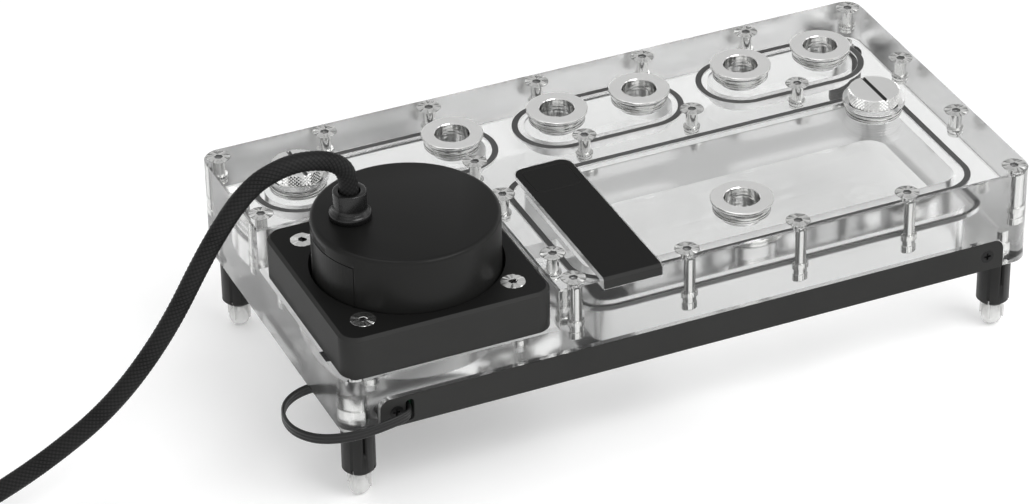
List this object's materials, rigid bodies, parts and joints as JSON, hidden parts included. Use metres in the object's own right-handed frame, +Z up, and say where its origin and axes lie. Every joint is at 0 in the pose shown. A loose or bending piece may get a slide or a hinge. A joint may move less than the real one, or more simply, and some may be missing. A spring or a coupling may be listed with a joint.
{
  "type": "water cooling distribution plate",
  "caption": "Clear acrylic coolant distribution plate with ring ports along one edge, seal tracks, screw plugs, a corner pump on a black mount, a light rail and sprung feet.",
  "frame": {"origin": "on the surface that the feet stand on, below the middle of the plate", "axes": "+X along the plate away from the pump, +Y from the light rail's face to the rear row of ports, +Z up"},
  "size_m": [0.452, 0.1673, 0.1072],
  "materials": {
    "clear_acrylic": "polished clear acrylic",
    "seal_rubber": "matt dark grey rubber cord",
    "polished_nickel": "polished nickel plate",
    "knurled_nickel": "nickel plate, knurled side and brushed top",
    "turned_steel": "bright steel with a radial turned face",
    "bright_steel": "bright machined steel",
    "black_anodised": "satin black anodised aluminium",
    "black_steel": "blackened steel",
    "satin_black_plastic": "satin black moulding",
    "black_rubber": "soft black rubber",
    "pump_plastic": "black engineering plastic",
    "magnet": "dark ferrite",
    "core_steel": "laminated steel",
    "copper_wire": "enamelled copper winding",
    "circuit_board": "solder masked board",
    "lamp_resin": "white lamp body",
    "black_plastic": "satin black plastic",
    "clear_rubber": "translucent soft rubber",
    "braided_sleeve": "black braided sleeve",
    "flat_wire": "flat black three core wire",
    "connector_plastic": "black connector housing"
  },
  "bodies": {
    "root": {"badge_plate": "black_anodised", "base_plate": "clear_acrylic", "cable_gland": "black_rubber", "channel_seal_left": "seal_rubber", "channel_seal_middle": "seal_rubber", "channel_seal_right": "seal_rubber", "cover_bar": "black_anodised", "cover_inserts": "bright_steel", "cover_plate": "clear_acrylic", "cover_screws": "turned_steel", "foot_inserts": "bright_steel", "foot_sleeve_front_left": "black_plastic", "foot_sleeve_front_right": "black_plastic", "foot_sleeve_rear_left": "black_plastic", "foot_sleeve_rear_right": "black_plastic", "foot_studs": "bright_steel", "foot_tip_front_left": "clear_rubber", "foot_tip_front_right": "clear_rubber", "foot_tip_rear_left": "clear_rubber", "foot_tip_rear_right": "clear_rubber", "light_cord": "flat_wire", "light_cord_coil": "flat_wire", "light_lamps": "lamp_resin", "light_plug": "connector_plastic", "light_rail": "black_anodised", "light_strip": "circuit_board", "plug_ring_left": "polished_nickel", "plug_ring_right": "polished_nickel", "plug_ring_seals": "seal_rubber", "port_ring_1": "polished_nickel", "port_ring_2": "polished_nickel", "port_ring_3": "polished_nickel", "port_ring_4": "polished_nickel", "port_ring_5": "polished_nickel", "port_ring_reservoir": "polished_nickel", "port_seals": "seal_rubber", "pump_board": "circuit_board", "pump_can": "satin_black_plastic", "pump_cord": "braided_sleeve", "pump_cord_coil": "braided_sleeve", "pump_inserts": "bright_steel", "pump_mount": "black_anodised", "pump_plug": "connector_plastic", "pump_screws": "turned_steel", "pump_seal": "seal_rubber", "rail_screws": "black_steel", "reservoir_seal": "seal_rubber", "rotor_post": "bright_steel", "stator_coils": "copper_wire", "stator_core": "core_steel", "wet_housing": "pump_plastic"},
    "rotor": {"rotor_magnet": "magnet", "impeller": "pump_plastic"},
    "left_washer": {"plug_washer_left": "seal_rubber"},
    "left_plug": {"plug_left": "knurled_nickel"},
    "right_washer": {"plug_washer_right": "seal_rubber"},
    "right_plug": {"plug_right": "knurled_nickel"}
  },
  "joints": [
    {"name": "rotor_spin", "type": "hinge", "parent": "root", "child": "rotor", "pos_m": [-0.0837, -0.026, 0.055], "axis": [0, 0, 1], "continuous": true},
    {"name": "left_plug_turn", "type": "hinge", "parent": "root", "child": "left_washer", "pos_m": [-0.095, 0.038, 0.0625], "axis": [0, 0, 1], "range_deg": [0, 2154.08]},
    {"name": "left_plug_lift", "type": "slide", "parent": "left_washer", "child": "left_plug", "axis": [0, 0, 1], "range_m": [0, 0.00801]},
    {"name": "right_plug_turn", "type": "hinge", "parent": "root", "child": "right_washer", "pos_m": [0.0948, 0.0004, 0.0625], "axis": [0, 0, 1], "range_deg": [0, 2154.08]},
    {"name": "right_plug_lift", "type": "slide", "parent": "right_washer", "child": "right_plug", "axis": [0, 0, 1], "range_m": [0, 0.00801]}
  ],
  "couplings": [
    {"joint": "left_plug_lift", "follows": "left_plug_turn", "m_per_rad": 0.00021279},
    {"joint": "right_plug_lift", "follows": "right_plug_turn", "m_per_rad": 0.00021279}
  ]
}
